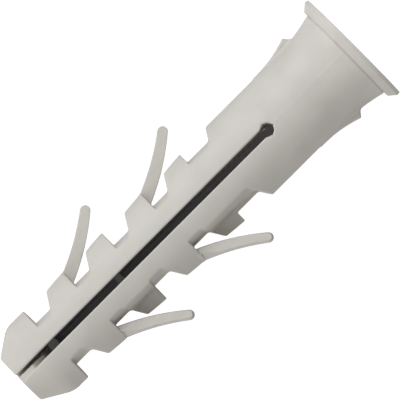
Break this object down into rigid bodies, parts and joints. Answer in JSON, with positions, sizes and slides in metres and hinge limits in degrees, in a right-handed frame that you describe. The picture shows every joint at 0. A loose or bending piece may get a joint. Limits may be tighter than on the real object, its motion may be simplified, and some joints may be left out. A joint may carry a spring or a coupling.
{
  "type": "wall anchor",
  "caption": "Collared expansion wall plug with a slotted body, barbed spreading legs and folding side wings that stop it turning.",
  "frame": {"origin": "centre of the collar's front face, on the plug's axis, at the mouth of the screw bore", "axes": "+Z along the plug's axis, out of the wall; X is the direction in which the legs spread; Y runs through the slot"},
  "size_m": [0.017, 0.0138, 0.05],
  "materials": {
    "nylon": "satin moulded nylon, light warm grey"
  },
  "bodies": {
    "body": {"collar": "nylon", "sleeve": "nylon", "fin_right": "nylon", "fin_left": "nylon"},
    "right_leg": {"leg_right": "nylon", "nose_right": "nylon", "tip_gusset_right": "nylon"},
    "left_leg": {"leg_left": "nylon", "nose_left": "nylon", "tip_gusset_left": "nylon", "slot_web": "nylon", "slot_links": "nylon"},
    "right_upper_wing_root": {"wing_base_right_upper": "nylon"},
    "right_upper_wing_tip": {"wing_blade_right_upper": "nylon"},
    "right_lower_wing_root": {"wing_base_right_lower": "nylon"},
    "right_lower_wing_tip": {"wing_blade_right_lower": "nylon"},
    "left_upper_wing_root": {"wing_base_left_upper": "nylon"},
    "left_upper_wing_tip": {"wing_blade_left_upper": "nylon"},
    "left_lower_wing_root": {"wing_base_left_lower": "nylon"},
    "left_lower_wing_tip": {"wing_blade_left_lower": "nylon"}
  },
  "joints": [
    {"name": "right_leg_spread", "type": "hinge", "parent": "body", "child": "right_leg", "pos_m": [0.00505, 0, -0.0128], "axis": [0, -1, 0], "range_deg": [0, 3], "stiffness_Nm_per_rad": 0.6},
    {"name": "left_leg_spread", "type": "hinge", "parent": "body", "child": "left_leg", "pos_m": [-0.00505, 0, -0.0128], "axis": [0, 1, 0], "range_deg": [0, 3], "stiffness_Nm_per_rad": 0.6},
    {"name": "right_upper_wing_fold", "type": "hinge", "parent": "right_leg", "child": "right_upper_wing_root", "pos_m": [0.00337, 0, -0.02707], "axis": [0, -1, 0], "range_deg": [0, 24], "stiffness_Nm_per_rad": 0.00025},
    {"name": "right_upper_wing_flex", "type": "hinge", "parent": "right_upper_wing_root", "child": "right_upper_wing_tip", "pos_m": [0.00514, 0, -0.02369], "axis": [0, -1, 0], "range_deg": [0, 9]},
    {"name": "right_lower_wing_fold", "type": "hinge", "parent": "right_leg", "child": "right_lower_wing_root", "pos_m": [0.00325, 0, -0.03881], "axis": [0, -1, 0], "range_deg": [0, 24], "stiffness_Nm_per_rad": 0.00025},
    {"name": "right_lower_wing_flex", "type": "hinge", "parent": "right_lower_wing_root", "child": "right_lower_wing_tip", "pos_m": [0.00502, 0, -0.03543], "axis": [0, -1, 0], "range_deg": [0, 9]},
    {"name": "left_upper_wing_fold", "type": "hinge", "parent": "left_leg", "child": "left_upper_wing_root", "pos_m": [-0.00337, 0, -0.02707], "axis": [0, 1, 0], "range_deg": [0, 24], "stiffness_Nm_per_rad": 0.00025},
    {"name": "left_upper_wing_flex", "type": "hinge", "parent": "left_upper_wing_root", "child": "left_upper_wing_tip", "pos_m": [-0.00514, 0, -0.02369], "axis": [0, 1, 0], "range_deg": [0, 9]},
    {"name": "left_lower_wing_fold", "type": "hinge", "parent": "left_leg", "child": "left_lower_wing_root", "pos_m": [-0.00325, 0, -0.03881], "axis": [0, 1, 0], "range_deg": [0, 24], "stiffness_Nm_per_rad": 0.00025},
    {"name": "left_lower_wing_flex", "type": "hinge", "parent": "left_lower_wing_root", "child": "left_lower_wing_tip", "pos_m": [-0.00502, 0, -0.03543], "axis": [0, 1, 0], "range_deg": [0, 9]}
  ],
  "couplings": [
    {"joint": "left_leg_spread", "follows": "right_leg_spread", "ratio": 1},
    {"joint": "right_upper_wing_flex", "follows": "right_upper_wing_fold", "ratio": 0.375},
    {"joint": "right_lower_wing_flex", "follows": "right_lower_wing_fold", "ratio": 0.375},
    {"joint": "left_upper_wing_flex", "follows": "left_upper_wing_fold", "ratio": 0.375},
    {"joint": "left_lower_wing_flex", "follows": "left_lower_wing_fold", "ratio": 0.375}
  ]
}
